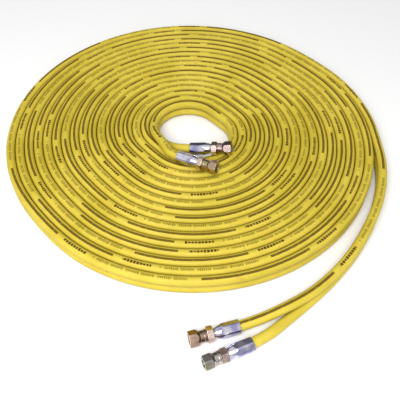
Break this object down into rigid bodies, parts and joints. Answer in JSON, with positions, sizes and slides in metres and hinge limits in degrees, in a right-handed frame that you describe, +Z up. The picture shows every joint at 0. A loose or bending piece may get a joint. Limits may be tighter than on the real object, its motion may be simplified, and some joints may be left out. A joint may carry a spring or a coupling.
{
  "type": "twin-line control hose",
  "caption": "Coiled twin-line control hose for a blast or spray machine, with a swivel fitting on each end of both lines.",
  "frame": {"origin": "on the ground under the middle of the oval coil", "axes": "+Z up; the tail and its two fittings lie towards -Y, and the tail leaves the coil at +X"},
  "size_m": [0.4754, 0.5572, 0.0422],
  "materials": {
    "hose_cover": "satin yellow",
    "hose_web": "satin yellow",
    "textile_braid": "woven yarn",
    "inner_tube": "smooth black",
    "chromed_socket": "bright chrome",
    "zinc_plated_nipple": "yellow zinc plate",
    "brass_nut": "turned brass",
    "spring_wire": "drawn wire"
  },
  "bodies": {
    "hose": {"return_cover_lead": "hose_cover", "return_cover_coil": "hose_cover", "return_cover_tail": "hose_cover", "return_braid": "textile_braid", "return_inner_tube": "inner_tube", "supply_cover_lead": "hose_cover", "supply_cover_coil": "hose_cover", "supply_cover_tail": "hose_cover", "supply_braid": "textile_braid", "supply_inner_tube": "inner_tube", "joining_web": "hose_web", "return_inner_socket": "chromed_socket", "return_inner_nipple": "zinc_plated_nipple", "supply_inner_socket": "chromed_socket", "supply_inner_nipple": "zinc_plated_nipple", "supply_outer_socket": "chromed_socket", "supply_outer_nipple": "zinc_plated_nipple", "return_outer_socket": "chromed_socket", "return_outer_nipple": "zinc_plated_nipple"},
    "return_inner_nut": {"return_inner_swivel_nut": "brass_nut", "return_inner_retaining_wire": "spring_wire"},
    "supply_inner_nut": {"supply_inner_swivel_nut": "brass_nut", "supply_inner_retaining_wire": "spring_wire"},
    "supply_outer_nut": {"supply_outer_swivel_nut": "brass_nut", "supply_outer_retaining_wire": "spring_wire"},
    "return_outer_nut": {"return_outer_swivel_nut": "brass_nut", "return_outer_retaining_wire": "spring_wire"}
  },
  "joints": [
    {"name": "return_inner_swivel", "type": "hinge", "parent": "hose", "child": "return_inner_nut", "pos_m": [0.03298, -0.04844, 0.03206], "axis": [0.967, -0.1688, 0.1908], "continuous": true},
    {"name": "supply_inner_swivel", "type": "hinge", "parent": "hose", "child": "supply_inner_nut", "pos_m": [0.01557, -0.07675, 0.03237], "axis": [0.9019, -0.4283, 0.0558], "continuous": true},
    {"name": "supply_outer_swivel", "type": "hinge", "parent": "hose", "child": "supply_outer_nut", "pos_m": [0.01162, -0.28334, 0.00856], "axis": [-0.9617, -0.274, 0], "continuous": true},
    {"name": "return_outer_swivel", "type": "hinge", "parent": "hose", "child": "return_outer_nut", "pos_m": [0.02484, -0.30586, 0.00856], "axis": [-0.9205, -0.3907, 0], "continuous": true}
  ]
}
